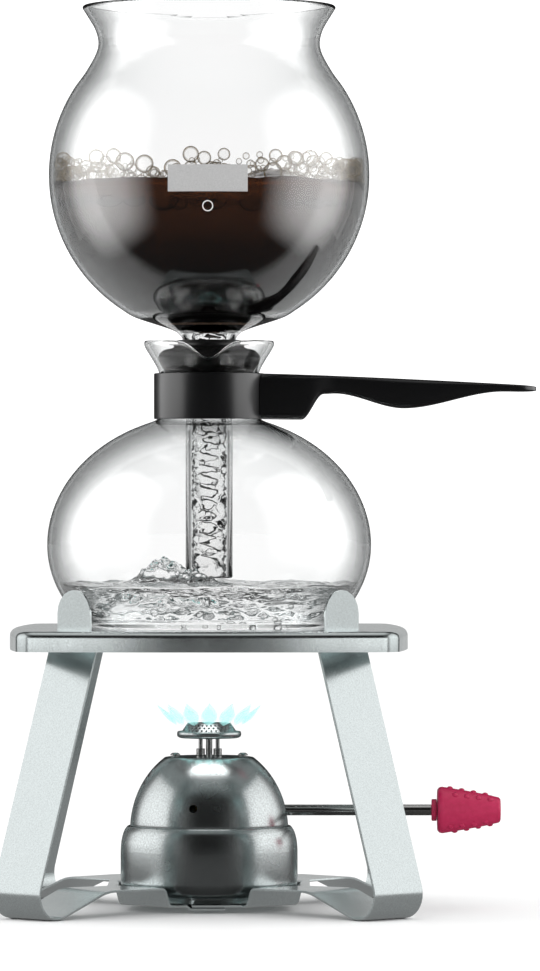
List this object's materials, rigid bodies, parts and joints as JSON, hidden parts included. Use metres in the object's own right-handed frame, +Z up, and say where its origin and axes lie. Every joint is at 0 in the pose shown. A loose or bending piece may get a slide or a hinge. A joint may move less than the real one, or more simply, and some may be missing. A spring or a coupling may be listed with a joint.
{
  "type": "vacuum coffee brewer",
  "caption": "Tabletop vacuum coffee brewer: a glass funnel sealed into a glass carafe with a side handle, on a folded metal stand over a butane burner with a turning valve knob.",
  "frame": {"origin": "on the surface that the four feet stand on, under the middle of the whole object's box; the glass and burner share one upright axis at x = -0.0287", "axes": "+Z up along the brewer's axis; +X to the right, the way the handle and the valve knob point; +Y to the rear, away from the pouring lip"},
  "size_m": [0.2646, 0.2072, 0.444],
  "materials": {
    "stand_aluminium": "fine bead-blasted, light silver",
    "satin_steel": "satin, fine grain",
    "bright_steel": "bright",
    "brass": "turned",
    "clear_glass": "clear, blown",
    "black_plastic": "satin black",
    "black_rubber": "soft black",
    "red_silicone": "satin magenta red, with small raised dots",
    "filter_nylon": "matt brown"
  },
  "bodies": {
    "stand": {"stand_half_left": "stand_aluminium", "stand_half_right": "stand_aluminium", "lap_rivet_front": "satin_steel", "lap_rivet_rear": "satin_steel", "trivet_plate": "stand_aluminium"},
    "carafe": {"carafe_glass": "clear_glass", "collar_band": "black_plastic", "handle": "black_plastic", "clamp_screw": "bright_steel", "clamp_insert": "brass"},
    "funnel": {"funnel_glass": "clear_glass", "seal": "black_rubber"},
    "filter": {"filter_plate": "filter_nylon", "filter_screen": "bright_steel", "filter_spring": "bright_steel"},
    "burner": {"tank_cup": "satin_steel", "tank_lid": "satin_steel", "dome_shell": "satin_steel", "valve_body": "brass", "jet": "brass", "burner_stem": "bright_steel", "head_post_left": "bright_steel", "head_post_right": "bright_steel", "head_cup": "satin_steel", "head_gauze": "bright_steel", "head_cap": "satin_steel", "dome_screw_left": "bright_steel", "dome_screw_right": "bright_steel", "refill_seat": "brass"},
    "valve": {"valve_rod": "bright_steel", "knob_collar": "red_silicone", "knob_core": "black_plastic", "knob_sleeve": "red_silicone"},
    "refill": {"refill_stem": "brass", "refill_spring": "bright_steel"}
  },
  "joints": [
    {"name": "carafe_lift", "type": "slide", "parent": "stand", "child": "carafe", "axis": [0, 0, 1], "range_m": [0, 0.08]},
    {"name": "funnel_lift", "type": "slide", "parent": "carafe", "child": "funnel", "axis": [0, 0, 1], "range_m": [0, 0.13]},
    {"name": "filter_lift", "type": "slide", "parent": "funnel", "child": "filter", "axis": [0, 0, 1], "range_m": [0, 0.29]},
    {"name": "burner_lift", "type": "slide", "parent": "stand", "child": "burner", "axis": [0, 0, 1], "range_m": [0, 0.015]},
    {"name": "valve_turn", "type": "hinge", "parent": "burner", "child": "valve", "pos_m": [-0.02869, 0, 0.0485], "axis": [1, 0, 0], "range_deg": [-180, 90]},
    {"name": "refill_press", "type": "slide", "parent": "burner", "child": "refill", "axis": [0, 0, 1], "range_m": [0, 0.0015], "stiffness_N_per_m": 500, "deforming": ["refill_spring"]}
  ]
}
